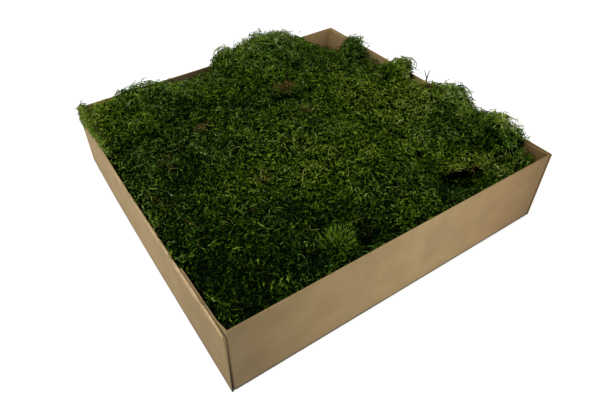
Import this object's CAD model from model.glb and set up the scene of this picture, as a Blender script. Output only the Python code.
"""The looks of a shallow kraft-board tray filled with sheets and clumps of carpet moss.

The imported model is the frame. Each sheet of moss is dressed with a dark bed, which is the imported
solid drawn in a little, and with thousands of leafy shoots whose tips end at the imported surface.
Everything is in metres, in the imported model's frame.
"""

from __future__ import annotations

import logging
import math
from dataclasses import dataclass, field
from enum import Enum
from functools import reduce
from typing import ClassVar

import bmesh
import bpy
import numpy as np
from mathutils import Matrix, Vector, noise
from mathutils.bvhtree import BVHTree


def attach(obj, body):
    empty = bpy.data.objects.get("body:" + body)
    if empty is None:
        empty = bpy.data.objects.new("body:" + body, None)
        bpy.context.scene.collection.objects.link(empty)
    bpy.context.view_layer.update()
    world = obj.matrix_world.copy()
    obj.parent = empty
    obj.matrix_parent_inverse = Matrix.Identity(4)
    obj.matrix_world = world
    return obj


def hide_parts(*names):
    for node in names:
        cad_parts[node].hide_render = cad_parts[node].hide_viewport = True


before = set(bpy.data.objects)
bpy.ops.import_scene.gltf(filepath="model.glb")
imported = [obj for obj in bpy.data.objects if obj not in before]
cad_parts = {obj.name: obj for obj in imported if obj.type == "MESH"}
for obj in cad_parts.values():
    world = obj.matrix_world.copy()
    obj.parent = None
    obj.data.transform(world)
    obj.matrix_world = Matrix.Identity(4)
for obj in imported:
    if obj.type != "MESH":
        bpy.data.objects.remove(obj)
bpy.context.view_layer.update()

log = logging.getLogger("moss tray")

BODY = "root"
MAX_TRIANGLES = 185_000  # of one piece
LEAF_MAP = "OFBake"  # u is a shoot's tone, v is the height along it
TINY = 1e-12  # keeps a length or an area from being zero
ABOVE_ALL = 0.2  # where the rays that look for the moss's tops start
TURN = 2 * math.pi

Array, Chance = np.ndarray, np.random.Generator
Material, Socket, Thing = bpy.types.Material, bpy.types.NodeSocket, bpy.types.Object
Pair = tuple[float, float]
RGB = Spot = tuple[float, float, float]
Palette = tuple[tuple[float, RGB], ...]


# ---- tools


def deselect_all() -> None:
    """Leave nothing selected and nothing active, in object mode."""
    if bpy.context.object and bpy.context.object.mode != "OBJECT":
        bpy.ops.object.mode_set(mode="OBJECT")
    bpy.ops.object.select_all(action="DESELECT")


def make_active(thing: Thing) -> None:
    """Select one object alone and make it active.

    Args:
        thing: the object.
    """
    deselect_all()
    thing.select_set(True)
    bpy.context.view_layer.objects.active = thing


def linked(thing: Thing) -> Thing:
    """The object, once it is linked to the scene."""
    bpy.context.scene.collection.objects.link(thing)
    return thing


def apply_all(thing: Thing) -> None:
    """Apply every modifier of an object, in order.

    Args:
        thing: the object.
    """
    make_active(thing)
    for modifier in list(thing.modifiers):
        bpy.ops.object.modifier_apply(modifier=modifier.name)


def settle_piece(piece: Thing, replaced: tuple[str, ...] = ()) -> None:
    """Say what a finished piece rides on, whose finish it has and which nodes it stands for.

    Args:
        piece: the finished object, at the origin.
        replaced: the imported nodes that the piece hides.
    """
    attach(piece, BODY)
    if replaced:
        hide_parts(*replaced)
    log.info("%s: %d faces", piece.name, len(piece.data.polygons))


def unit(rows: Array, least: float = 0.0) -> Array:
    """The rows at unit length, with a least length added against division by zero."""
    return rows / (np.linalg.norm(rows, axis=1, keepdims=True) + least)


def level_ways(angles: Array) -> Array:
    """Level directions at these angles from X."""
    return np.stack([np.cos(angles), np.sin(angles), np.zeros(len(angles))], axis=1)


def share_of(values: Array, start: float, width: float) -> Array:
    """How far the values are past the start, as a share of the width from 0 to 1."""
    return np.clip((values - start) / width, 0.0, 1.0)


def mesh_from_arrays(name: str, points: Array, triangles: Array, tones: Array, rises: Array) -> Thing:
    """An object made of loose triangles, with its tone and rise kept in a UV map.

    Args:
        name: the object's name.
        points: one row for each vertex.
        triangles: three vertex numbers for each triangle.
        tones: each vertex's place across the leaf palette, from 0 to 1.
        rises: each vertex's height along its shoot, from 0 at the root to 1 at the tip.

    Returns:
        The new object, linked to the scene.
    """
    mesh = bpy.data.meshes.new(name)
    mesh.vertices.add(len(points))
    mesh.vertices.foreach_set("co", points.astype(np.float32).ravel())
    mesh.loops.add(triangles.size)
    mesh.loops.foreach_set("vertex_index", triangles.astype(np.int32).ravel())
    mesh.polygons.add(len(triangles))
    mesh.polygons.foreach_set("loop_start", np.arange(0, triangles.size, 3, dtype=np.int32))
    uv_map = mesh.uv_layers.new(name=LEAF_MAP)
    corners = triangles.ravel()
    pairs = np.stack([tones[corners], rises[corners]], axis=1).astype(np.float32)
    uv_map.uv.foreach_set("vector", pairs.ravel())
    mesh.update(calc_edges=True)
    mesh.validate()
    return linked(bpy.data.objects.new(name, mesh))


# ---- shared shader groups


class Graph:
    """A node tree that is being filled, with short ways to add and join nodes."""

    def __init__(self, tree: bpy.types.NodeTree) -> None:
        """Keep the tree."""
        self.tree = tree

    @property
    def shader(self) -> bpy.types.Node:
        """The material's Principled shader."""
        return self.tree.nodes["Principled BSDF"]

    def add(self, kind: str, **values: object) -> bpy.types.Node:
        """Add a node and set its properties and, by name, its inputs.

        Args:
            kind: the node's type name.
            values: properties of the node, or inputs with spaces written as underscores.

        Returns:
            The new node.
        """
        node = self.tree.nodes.new(kind)
        for key, value in values.items():
            if hasattr(node, key):
                setattr(node, key, value)
            else:
                self.feed(node.inputs[key.replace("_", " ")], value)
        return node

    def join(self, start: Socket, end: Socket) -> None:
        """Link an output to an input."""
        self.tree.links.new(start, end)

    def feed(self, socket: Socket, value: Socket | RGB | float) -> None:
        """Link a socket to an input, or set the input to a colour or a number.

        Args:
            socket: the input.
            value: what it takes.
        """
        if isinstance(value, bpy.types.NodeSocket):
            self.join(value, socket)
        else:
            socket.default_value = (*value, 1.0) if isinstance(value, tuple) else value

    def place(self) -> Socket:
        """The place on the object, in its own frame."""
        return self.add("ShaderNodeTexCoord").outputs["Object"]

    def leaf_map(self) -> Socket:
        """The place in the map of tones and rises."""
        return self.add("ShaderNodeUVMap", uv_map=LEAF_MAP).outputs["UV"]

    def split(self, vector: Socket) -> tuple[Socket, Socket, Socket]:
        """The X, Y and Z of a vector."""
        return tuple(self.add("ShaderNodeSeparateXYZ", Vector=vector).outputs)

    def math(self, operation: str, first: Socket | float, second: Socket | float = 0.0) -> Socket:
        """A Math node's output, from sockets or numbers.

        Args:
            operation: the Math node's operation.
            first: a socket or a number.
            second: a socket or a number.

        Returns:
            The node's output socket.
        """
        node = self.add("ShaderNodeMath", operation=operation)
        self.feed(node.inputs[0], first)
        self.feed(node.inputs[1], second)
        return node.outputs[0]

    def times(self, *factors: Socket | float) -> Socket:
        """The product of sockets and numbers."""
        return reduce(lambda product, factor: self.math("MULTIPLY", product, factor), factors)

    def band(self, value: Socket, low: float, high: float) -> Socket:
        """A value mapped so that low becomes 0 and high becomes 1, clamped and eased."""
        ends = {"From_Min": low, "From_Max": high}
        return self.add("ShaderNodeMapRange", interpolation_type="SMOOTHSTEP", Value=value, **ends).outputs[0]

    def noise(self, where: Socket, scale: Socket | float, detail: float = 2.0) -> Socket:
        """A noise value at a place, with the texture's scale and detail."""
        return self.add("ShaderNodeTexNoise", Vector=where, Scale=scale, Detail=detail).outputs["Fac"]

    def blend(
        self, amount: Socket | float, first: Socket | RGB, second: Socket | RGB, kind: str = "MIX"
    ) -> Socket:
        """A colour mix of two sockets or colours.

        Args:
            amount: a socket or a number.
            first: a socket or an RGB colour.
            second: a socket or an RGB colour.
            kind: the blend type.

        Returns:
            The mixed colour's socket.
        """
        node = self.add("ShaderNodeMix", data_type="RGBA", blend_type=kind)
        for place, value in ((0, amount), (6, first), (7, second)):  # factor, A and B of a colour mix
            self.feed(node.inputs[place], value)
        return node.outputs[2]

    def ramp(self, value: Socket, stops: Palette) -> Socket:
        """A colour ramp.

        Args:
            value: the socket that is looked up.
            stops: pairs of a position and an RGB colour, in order.

        Returns:
            The colour's socket.
        """
        node = self.add("ShaderNodeValToRGB")
        elements = node.color_ramp.elements
        while len(elements) < len(stops):
            elements.new(0.5)
        for element, (position, colour) in zip(elements, stops):
            element.position = position
            element.color = (*colour, 1.0)
        self.join(value, node.inputs["Fac"])
        return node.outputs["Color"]

    def bump(self, height: Socket, strength: float, distance: float) -> None:
        """Bump the shader's normal by a height, with a Bump node's strength and distance."""
        node = self.add("ShaderNodeBump", Height=height, Strength=strength, Distance=distance)
        self.join(node.outputs["Normal"], self.shader.inputs["Normal"])

    def paint(self, colour: Socket, rise: Socket, root: float, full_at: float) -> None:
        """Give the shader a colour that darkens towards the root.

        Args:
            colour: the colour's socket.
            rise: the height along the shoot.
            root: the share of the colour that is left at the root.
            full_at: the height from which the colour is whole.
        """
        lit = self.times(self.band(rise, 0.0, full_at), 1.0 - root)
        colour = self.blend(self.math("ADD", lit, root), (0.0, 0.0, 0.0), colour)
        self.join(colour, self.shader.inputs["Base Color"])


def new_material(name: str, roughness: float, specular: float) -> tuple[Material, Graph]:
    """A material with its Principled shader set, ready for its colour.

    Args:
        name: the material's name.
        roughness: the shader's own roughness value.
        specular: the shader's own specular level.

    Returns:
        The material and its graph.
    """
    made = bpy.data.materials.new(name)
    made.use_nodes = True
    graph = Graph(made.node_tree)
    graph.shader.inputs["Roughness"].default_value = roughness
    graph.shader.inputs["Specular IOR Level"].default_value = specular
    return made, graph


def mottle_group() -> bpy.types.ShaderNodeTree:
    """The paper mottle that board and torn paper share: a value at two scales.

    Returns:
        The node group, made on the first call.
    """
    name = "paper mottle"
    if name in bpy.data.node_groups:
        return bpy.data.node_groups[name]
    group = bpy.data.node_groups.new(name, "ShaderNodeTree")
    group.interface.new_socket("Place", in_out="INPUT", socket_type="NodeSocketVector")
    for scale, value in (("Cloud Scale", 30.0), ("Fibre Scale", 600.0)):
        socket = group.interface.new_socket(scale, in_out="INPUT", socket_type="NodeSocketFloat")
        socket.default_value = value
    group.interface.new_socket("Cloud", in_out="OUTPUT", socket_type="NodeSocketFloat")
    group.interface.new_socket("Fibre", in_out="OUTPUT", socket_type="NodeSocketFloat")
    graph = Graph(group)
    start, end = graph.add("NodeGroupInput"), graph.add("NodeGroupOutput")
    for scale, detail, output in (("Cloud Scale", 5.0, "Cloud"), ("Fibre Scale", 2.0, "Fibre")):
        value = graph.noise(start.outputs["Place"], start.outputs[scale], detail)
        graph.join(value, end.inputs[output])
    return group


def mottle(graph: Graph, where: Socket, cloud_scale: float | None = None) -> tuple[Socket, Socket]:
    """The paper mottle at a place.

    Args:
        graph: the material's graph.
        where: the place's socket.
        cloud_scale: the scale of the clouds, where it isn't the group's own.

    Returns:
        The value of the clouds and that of the fibres.
    """
    node = graph.add("ShaderNodeGroup", node_tree=mottle_group(), Place=where)
    if cloud_scale is not None:
        node.inputs["Cloud Scale"].default_value = cloud_scale
    return node.outputs["Cloud"], node.outputs["Fibre"]


# ---- finishes


@dataclass(frozen=True)
class Coat:
    """A colour that covers the ones below it where a value lies past its range."""

    colour: RGB
    span: Pair  # from where it doesn't show to where it shows in full
    share: float | None = None  # how much it covers there, unless that is everything

    def over(self, graph: Graph, value: Socket, below: Socket | RGB) -> Socket:
        """The colour below with this coat on it.

        Args:
            graph: the material's graph.
            value: the value's socket.
            below: the colour so far.

        Returns:
            The coated colour's socket.
        """
        amount = graph.band(value, *self.span)
        if self.share is not None:
            amount = graph.times(amount, self.share)
        return graph.blend(amount, below, self.colour)


@dataclass(frozen=True)
class CornerShade:
    """A shade that multiplies the board's colour at an upright corner and fades out over its reach."""

    corner: Pair
    reach: float
    colour: RGB

    def mask(self, graph: Graph, x: Socket, y: Socket) -> Socket:
        """Where the shade lies: 1 at the corner, 0 past the reach.

        Args:
            graph: the material's graph.
            x: the place along X.
            y: the place along Y.

        Returns:
            The mask's socket.
        """
        across = graph.math("SUBTRACT", x, self.corner[0])
        along = graph.math("SUBTRACT", y, self.corner[1])
        squares = graph.math("ADD", graph.times(across, across), graph.times(along, along))
        return graph.band(graph.math("SQRT", squares), self.reach, 0.0)


@dataclass(frozen=True)
class KraftBoard:
    """Brown corrugated board: mottled, faintly ribbed by its flutes, damp and dark inside.

    A pair that limits a mask runs from where the mask is 0 to where it is 1.
    """

    dark: RGB = (0.260, 0.180, 0.085)
    light: Coat = Coat((0.290, 0.204, 0.098), (0.36, 0.66))
    fibre: Coat = Coat((0.46, 0.36, 0.24), (0.52, 0.72), 0.22)
    stain: Coat = Coat((0.20, 0.135, 0.070), (0.60, 0.74), 0.35)
    stain_noise: Pair = (14.0, 3.0)  # scale and detail
    inward: Pair = (-0.06, -0.12)
    damp: RGB = (0.292, 0.194, 0.086)
    damp_share: float = 0.9
    shaded: RGB = (0.105, 0.072, 0.036)
    shaded_x: tuple[Pair, Pair] = ((0.06, 0.0), (-0.14, -0.06))
    shaded_y: Pair = (0.190, 0.197)
    corners: tuple[CornerShade, ...] = (
        CornerShade((-0.17, -0.22), 0.24, (0.70, 0.69, 0.66)),
        CornerShade((0.20, -0.20), 0.20, (0.76, 0.68, 0.62)),
        CornerShade((0.205, -0.205), 0.065, (0.70, 0.72, 0.72)),
    )
    front_shade: CornerShade = CornerShade((-0.21, -0.20), 0.11, (0.72, 0.73, 0.76))
    front: Pair = (-0.1985, -0.1995)
    foot_line: Coat = Coat((0.055, 0.050, 0.052), (0.0042, 0.0026), 0.8)
    gap: RGB = (0.014, 0.009, 0.006)
    gap_x: Pair = (-0.2015, -0.1992)
    gap_front: float = -0.1994
    gap_lean: float = 0.75  # how much of its width the gap's left edge crosses from foot to rim
    gap_left: Pair = (0.0001, 0.0003)
    gap_blur: float = 0.0002
    rim: float = 0.083
    flute: float = 0.0032
    flute_share: float = 0.12
    bump: Pair = (0.25, 0.0003)  # strength and distance

    def build(self) -> Material:
        """Make the material.

        Returns:
            The material.
        """
        made, graph = new_material("kraft board", 0.85, 0.12)
        where = graph.place()
        x, y, z = graph.split(where)
        cloud, fibres = mottle(graph, where)
        colour = self.fibre.over(graph, fibres, self.light.over(graph, cloud, self.dark))
        colour = self.stain.over(graph, graph.noise(where, *self.stain_noise), colour)
        facing = graph.split(graph.add("ShaderNodeTexCoord").outputs["Normal"])
        outward = graph.math("ADD", graph.times(facing[0], x), graph.times(facing[1], y))
        inside = graph.band(outward, *self.inward)
        colour = graph.blend(graph.times(inside, self.damp_share), colour, self.damp)
        limits = [graph.band(x, *limit) for limit in self.shaded_x]
        shade = graph.times(inside, *limits, graph.band(y, *self.shaded_y))
        colour = graph.blend(shade, colour, self.shaded)
        for corner in self.corners:
            colour = graph.blend(corner.mask(graph, x, y), colour, corner.colour, "MULTIPLY")
        near = graph.times(graph.band(y, *self.front), self.front_shade.mask(graph, x, y))
        colour = graph.blend(near, colour, self.front_shade.colour, "MULTIPLY")
        colour = self.foot_line.over(graph, z, colour)
        colour = graph.blend(self._gap(graph, x, y, z), colour, self.gap)
        graph.join(colour, graph.shader.inputs["Base Color"])
        ribs = graph.math("SINE", graph.times(graph.math("ADD", x, y), TURN / self.flute))
        graph.bump(graph.math("ADD", graph.times(ribs, self.flute_share), fibres), *self.bump)
        return made

    def _gap(self, graph: Graph, x: Socket, y: Socket, z: Socket) -> Socket:
        """A mask of the left wall's cut end, in the dark where it stands off from the front wall's fold.

        Args:
            graph: the material's graph.
            x: the place along X.
            y: the place along Y.
            z: the height.

        Returns:
            The mask's socket.
        """
        left, right = self.gap_x
        edge = graph.times(graph.math("DIVIDE", z, self.rim), (right - left) * self.gap_lean)
        from_left = graph.math("SUBTRACT", graph.math("SUBTRACT", x, edge), left)
        return graph.times(
            graph.band(from_left, *self.gap_left),
            graph.band(x, right, right - self.gap_blur),
            graph.band(y, self.gap_front, self.gap_front - self.gap_blur),
        )


@dataclass(frozen=True)
class TornPaper:
    """The pale, fibrous inside of board whose liner was torn."""

    dark: RGB = (0.320, 0.228, 0.122)
    light: Coat = Coat((0.430, 0.310, 0.170), (0.35, 0.65))
    cloud_scale: float = 180.0
    bump: Pair = (0.5, 0.0003)

    def build(self) -> Material:
        """Make the material.

        Returns:
            The material.
        """
        made, graph = new_material("torn paper", 0.95, 0.05)
        cloud, fibres = mottle(graph, graph.place(), self.cloud_scale)
        graph.join(self.light.over(graph, cloud, self.dark), graph.shader.inputs["Base Color"])
        graph.bump(fibres, *self.bump)
        return made


@dataclass(frozen=True)
class MossLeaf:
    """The leaves of the shoots: a palette across u, darkening towards the root down v."""

    cool: Palette = (
        (0.00, (0.0010, 0.006, 0.0005)), (0.25, (0.008, 0.025, 0.002)),
        (0.50, (0.028, 0.065, 0.005)), (0.70, (0.062, 0.130, 0.013)),
        (0.88, (0.136, 0.222, 0.040)), (1.00, (0.265, 0.340, 0.145)),
    )
    warm: Palette = (
        (0.00, (0.0010, 0.006, 0.0003)), (0.25, (0.010, 0.027, 0.001)),
        (0.50, (0.036, 0.077, 0.001)), (0.70, (0.088, 0.162, 0.005)),
        (0.88, (0.182, 0.256, 0.026)), (1.00, (0.310, 0.355, 0.120)),
    )
    doubling: float = 1.998  # just under 2, so that u = 1 stays in the warm palette
    root: float = 0.10
    full_at: float = 0.9

    def build(self) -> Material:
        """Make the material.

        Returns:
            The material.
        """
        made, graph = new_material("moss leaf", 0.6, 0.03)
        across, rise, _ = graph.split(graph.leaf_map())
        is_warm = graph.math("GREATER_THAN", across, 0.5)
        doubled = graph.math("FRACT", graph.times(across, self.doubling))
        cool, warm = graph.ramp(doubled, self.cool), graph.ramp(doubled, self.warm)
        graph.paint(graph.blend(is_warm, cool, warm), rise, self.root, self.full_at)
        return made


@dataclass(frozen=True)
class DryStem:
    """Dead stems and brown shoots: a palette across u, darkening towards the root down v."""

    palette: Palette = (
        (0.00, (0.014, 0.018, 0.012)), (0.15, (0.036, 0.038, 0.022)),
        (0.30, (0.050, 0.034, 0.008)), (0.50, (0.112, 0.076, 0.016)),
        (0.70, (0.156, 0.138, 0.032)), (0.85, (0.195, 0.215, 0.050)),
        (1.00, (0.340, 0.330, 0.170)),
    )
    root: float = 0.30
    full_at: float = 0.8

    def build(self) -> Material:
        """Make the material.

        Returns:
            The material.
        """
        made, graph = new_material("dry stem", 0.8, 0.04)
        across, rise, _ = graph.split(graph.leaf_map())
        graph.paint(graph.ramp(across, self.palette), rise, self.root, self.full_at)
        return made


@dataclass(frozen=True)
class MossBed:
    """The dark felt of old shoots under the green ones."""

    dark: RGB = (0.0006, 0.002, 0.0003)
    green: Coat = Coat((0.002, 0.007, 0.0008), (0.4, 0.65))
    green_scale: float = 420.0
    brown: Coat = Coat((0.008, 0.006, 0.0015), (0.55, 0.7), 0.6)
    brown_scale: float = 90.0
    bump_scale: float = 700.0
    bump: Pair = (1.0, 0.0012)

    def build(self) -> Material:
        """Make the material.

        Returns:
            The material.
        """
        made, graph = new_material("moss bed", 0.95, 0.0)
        where = graph.place()
        colour = self.green.over(graph, graph.noise(where, self.green_scale), self.dark)
        colour = self.brown.over(graph, graph.noise(where, self.brown_scale), colour)
        graph.join(colour, graph.shader.inputs["Base Color"])
        graph.bump(graph.noise(where, self.bump_scale), *self.bump)
        return made


# ---- the tray's walls, as limits


@dataclass(frozen=True)
class TrayWalls:
    """The tray's walls, as the shoots meet them."""

    width: float = 0.403
    depth: float = 0.400
    board: float = 0.0018
    tab_reach: float = 0.085
    tab_room: float = 0.0025
    left_rim: float = 0.0843
    front_rim: Pair = (0.0890, 0.0905)
    back_rim: Pair = (0.0830, 0.0905)
    right_rim: float = 0.0905
    left_bow: float = 0.0035
    left_lean: float = 0.5  # how much more the left wall bows towards the back
    right_bow: float = 0.0012
    room: float = 0.0003
    packed_side: float = 0.1967
    packed_slack: float = 0.001
    draw_width: float = 0.020
    rim_reach: float = 0.0030

    def side_faces(self, y: Array) -> tuple[Array, Array, Array]:
        """How far out the side walls stand, and how thick they are with their tabs.

        Args:
            y: places along the walls.

        Returns:
            The left wall's outer face, the right wall's, and the thickness, at each place.
        """
        along = 2 * y / self.depth
        fade = np.clip(1 - along * along, 0.0, 1.0)
        left = self.width / 2 + self.left_bow * fade * (1 + self.left_lean * along)
        tab = np.where(np.abs(y) > self.depth / 2 - self.tab_reach, self.tab_room, 0.0)
        return left, self.width / 2 + self.right_bow * fade, self.board + tab

    def hold_in(self, points: Array, places: Array) -> Array:
        """Keep within the walls the places whose surface points lie within them.

        Args:
            points: one row for each point of the surface.
            places: one row for each place beside it.

        Returns:
            The places, held in where they have to be.
        """
        held = places.copy()
        left, right, thickness = self.side_faces(points[:, 1])
        wide = np.where(points[:, 0] < 0, left, right) - thickness
        deep = self.depth / 2 - self.board
        for axis, inner in ((0, wide), (1, deep)):
            within = np.abs(points[:, axis]) < inner + self.board / 2
            limit = inner - self.room
            held[:, axis] = np.where(within, np.clip(held[:, axis], -limit, limit), held[:, axis])
        return held

    def reach_out(self, points: Array) -> Array:
        """Draw the points near the side walls out to them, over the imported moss's clearance.

        Args:
            points: one row for each point.

        Returns:
            The moved points.
        """
        moved = points.copy()
        x = points[:, 0]
        left, right, thickness = self.side_faces(points[:, 1])
        gap = np.maximum(np.where(x < 0, left, right) - thickness - self.packed_side, 0.0)
        share = np.clip((np.abs(x) - self.packed_side + self.draw_width) / self.draw_width, 0.0, 1.0)
        moved[:, 0] += np.sign(x) * gap * share**2 * (np.abs(x) < self.packed_side + self.packed_slack)
        return moved

    def keep_clear(self, points: Array, tops: Array) -> Array:
        """Move points out of the board, to the side of the wall where they belong.

        Args:
            points: one row for each vertex.
            tops: for each vertex, the highest point of its shoot.

        Returns:
            The moved points.
        """
        moved = points.copy()
        left, right, thickness = self.side_faces(moved[:, 1])
        across = moved[:, 0] / self.width + 0.5
        rims = [low + (high - low) * across for low, high in (self.front_rim, self.back_rim)]
        self._clear_wall(moved, tops, 0, -1.0, (left, thickness, self.left_rim))
        self._clear_wall(moved, tops, 0, 1.0, (right, thickness, self.right_rim))
        for side, rim in zip((-1.0, 1.0), rims):
            self._clear_wall(moved, tops, 1, side, (self.depth / 2, self.board, rim))
        return moved

    def _clear_wall(
        self, points: Array, tops: Array, axis: int, side: float, wall: tuple[Array | float, ...]
    ) -> None:
        """Clear one wall, in place: shoots from inside stay in or lie on the rim, the others hang outside.

        Args:
            points: one row for each vertex.
            tops: for each vertex, the highest point of its shoot.
            axis: 0 for the left and right walls, 1 for the front and back walls.
            side: the sign of the wall's place along the axis.
            wall: how far out its outer face stands, its thickness with its tabs, and its rim's height.
        """
        outer, thickness, rim = wall
        value, height = points[:, axis] * side, points[:, 2]
        inner = outer - thickness - self.room
        from_inside = tops[:, axis] * side < outer - thickness / 2
        past = (value > inner) & (height < rim + self.room)
        deep = height < rim - self.rim_reach
        low = (tops[:, 2] < rim + self.room) | deep
        to_inner = past & from_inside & low
        to_rim = past & from_inside & ~low
        to_outer = past & ~from_inside & (value < outer + self.room)
        points[:, axis] = np.where(to_inner, side * inner, points[:, axis])
        points[:, axis] = np.where(to_rim & (value > outer), side * outer, points[:, axis])
        points[:, 2] = np.where(to_rim, rim + self.room, height)
        points[:, axis] = np.where(to_outer, side * (outer + self.room), points[:, axis])


# ---- the torn rim


@dataclass(frozen=True)
class TornRun:
    """One run of torn paper along the left wall's rim: its ends, its width and how far down it starts."""

    start: float
    end: float
    width: float
    below: float = 0.0


@dataclass(frozen=True)
class TornRim:
    """What the lid's liner left on the left wall where it was torn off."""

    walls: TrayWalls
    rim: float = 0.0842
    front_rim: float = 0.0830
    step_at: float = -0.100
    wraps: Pair = (0.0010, 0.0017)
    lift: float = 0.00022
    thickness: float = 0.0003
    step: float = 0.0020
    rows: int = 4
    fullness: float = 0.75  # the mean width, as a share of the run's own
    least: float = 0.2
    rags: tuple[Spot, ...] = ((0.45, 0.005, 0.0), (0.25, 0.0018, 5.0))  # amount, wavelength and seed
    taper: Pair = (6.0, 0.15)  # how fast the ends widen, and how wide they start
    runs: tuple[TornRun, ...] = (
        TornRun(0.062, 0.020, 0.0016), TornRun(-0.004, -0.037, 0.0012),
        TornRun(-0.036, -0.079, 0.0027), TornRun(-0.077, -0.099, 0.0015),
        TornRun(-0.101, -0.160, 0.0030), TornRun(-0.158, -0.199, 0.0018),
        TornRun(-0.106, -0.152, 0.0008, 0.0040), TornRun(-0.150, -0.177, 0.0010, 0.0046),
    )

    def build(self) -> None:
        """Make every run and join them into one piece."""
        strips = [self.build_strip(run, seed) for seed, run in enumerate(self.runs)]
        make_active(strips[0])
        for strip in strips:
            strip.select_set(True)
        bpy.ops.object.join()
        rim = bpy.context.object
        rim.name = rim.data.name = "tray_torn_rim"
        rim.data.materials.append(TornPaper().build())
        settle_piece(rim)

    def build_strip(self, run: TornRun, seed: int) -> Thing:
        """One ragged strip, wrapped over the outer edge of the rim.

        Args:
            run: where it lies.
            seed: what its ragged edge follows.

        Returns:
            The strip.
        """
        deselect_all()
        columns = max(4, round((run.start - run.end) / self.step))
        bpy.ops.mesh.primitive_grid_add(x_subdivisions=columns, y_subdivisions=self.rows, size=1.0)
        strip = bpy.context.object
        for vertex in strip.data.vertices:
            along, across = vertex.co.x + 0.5, vertex.co.y + 0.5
            vertex.co = self.place(run, seed, along, across)
        solid = strip.modifiers.new("thickness", "SOLIDIFY")
        solid.thickness = self.thickness
        solid.offset = 0.0
        apply_all(strip)
        bpy.ops.object.mode_set(mode="EDIT")
        bpy.ops.mesh.select_all(action="SELECT")
        bpy.ops.mesh.normals_make_consistent(inside=False)
        bpy.ops.object.mode_set(mode="OBJECT")
        return strip

    def place(self, run: TornRun, seed: int, along: float, across: float) -> Vector:
        """Where a point of a strip lies.

        Args:
            run: where the strip lies.
            seed: what its ragged edge follows.
            along: the point's share of the way along the run.
            across: its share of the way across it.

        Returns:
            The point's place.
        """
        y = run.start + (run.end - run.start) * along
        ragged = self.fullness
        for amount, wavelength, other in self.rags:
            ragged += amount * noise.noise((y / wavelength, seed, other))
        widening, start = self.taper
        taper = min(1.0, widening * along + start, widening * (1 - along) + start)
        width = run.width * max(self.least, ragged) * taper
        wrap = 0.0 if run.below else self.wraps[y < self.step_at] * taper
        reach = across * (width + wrap)
        outer = float(self.walls.side_faces(np.array([y]))[0][0]) + self.lift
        top = (self.rim if y > self.step_at else self.front_rim) - run.below
        if reach < width:
            return Vector((-outer, y, top - width + reach))
        return Vector((-outer + reach - width, y, top + self.lift))


# ---- packed surfaces


@dataclass
class PackedSurface:
    """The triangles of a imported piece, with smooth normals at their corners."""

    corners: Array
    normals: Array
    areas: Array
    corner_normals: Array
    least_up: ClassVar[float] = -0.75  # faces that look further down than this are bare
    lowest: ClassVar[float] = 0.02  # and so are those that reach lower
    tries: ClassVar[float] = 4.5  # for each square of the spacing
    steep: ClassVar[float] = 0.35  # the upward share of a normal, below which a face is a side
    reach: ClassVar[float] = 0.006  # how near another solid has to stand to cover a side

    @classmethod
    def read(cls, name: str) -> PackedSurface:
        """Read a node of the frame.

        Args:
            name: the node's name.

        Returns:
            Its surface.
        """
        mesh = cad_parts[name].data
        mesh.calc_loop_triangles()
        points = np.empty(len(mesh.vertices) * 3)
        mesh.vertices.foreach_get("co", points)
        indices = np.empty(len(mesh.loop_triangles) * 3, dtype=np.int32)
        mesh.loop_triangles.foreach_get("vertices", indices)
        corners = points.reshape(-1, 3)[indices.reshape(-1, 3)]
        cross = np.cross(corners[:, 1] - corners[:, 0], corners[:, 2] - corners[:, 0])
        doubled = np.linalg.norm(cross, axis=1)
        keep = doubled > TINY
        corners, cross, doubled = corners[keep], cross[keep], doubled[keep]
        _, owner = np.unique(np.round(corners.reshape(-1, 3), 6), axis=0, return_inverse=True)
        owner = owner.ravel()
        sums = np.zeros((owner.max() + 1, 3))
        np.add.at(sums, owner, np.repeat(cross, 3, axis=0))
        smooth = unit(sums, TINY)[owner].reshape(-1, 3, 3)
        return cls(corners, cross / doubled[:, None], doubled / 2, smooth)

    def scatter(
        self, spacing: float, solids: BVHTree, outline: MossOutline, rng: Chance
    ) -> tuple[Array, Array]:
        """Points all over the exposed surface, no two nearer than the spacing.

        Args:
            spacing: the least distance between two points.
            solids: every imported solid, to tell what is exposed.
            outline: the moss's outline, which lifts the points over the seams.
            rng: the source of chance.

        Returns:
            The points and the surface's normals there.
        """
        reachable = (self.normals[:, 2] > self.least_up) & (self.corners[:, :, 2].min(axis=1) > self.lowest)
        weights = np.where(reachable, self.areas, 0.0)
        tries = int(weights.sum() / spacing**2 * self.tries)
        chosen = rng.choice(len(weights), size=tries, p=weights / weights.sum())
        first, second = rng.random(tries), rng.random(tries)
        over = first + second > 1
        first, second = np.where(over, 1 - first, first), np.where(over, 1 - second, second)
        mix = np.stack([1 - first - second, first, second], axis=1)[:, :, None]
        points = (self.corners[chosen] * mix).sum(axis=1)
        normals = unit((self.corner_normals[chosen] * mix).sum(axis=1), TINY)
        steep = self.normals[chosen, 2] < self.steep
        roots = points.copy()
        lift, level = outline.lift(points)
        points[:, 2] += np.where(steep, 0.0, lift) + outline.tuft_rise(points)
        normals[:, 2] += np.where(steep, 0.0, level)
        normals = unit(normals)
        cells: dict[tuple[int, int, int], list[Array]] = {}
        kept = []
        keys = np.floor(points / spacing).astype(int)
        for index in range(tries):
            x, y, z = here = points[index]
            i, j, k = keys[index]
            near = (
                other
                for a in (i - 1, i, i + 1)
                for b in (j - 1, j, j + 1)
                for c in (k - 1, k, k + 1)
                for other in cells.get((a, b, c), ())
            )
            if any(abs(o[0] - x) + abs(o[1] - y) + abs(o[2] - z) < spacing for o in near):
                continue
            if steep[index] and self._covered(roots[index], self.normals[chosen[index]], solids):
                continue
            cells.setdefault((i, j, k), []).append(here)
            kept.append(index)
        return points[kept], normals[kept]

    def _covered(self, point: Array, normal: Array, solids: BVHTree) -> bool:
        """Whether another solid stands close in front of a point, which is 0.05 mm clear of its own."""
        start = Vector(point + normal * 0.00005)
        return solids.ray_cast(start, Vector(normal), self.reach)[0] is not None


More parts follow.
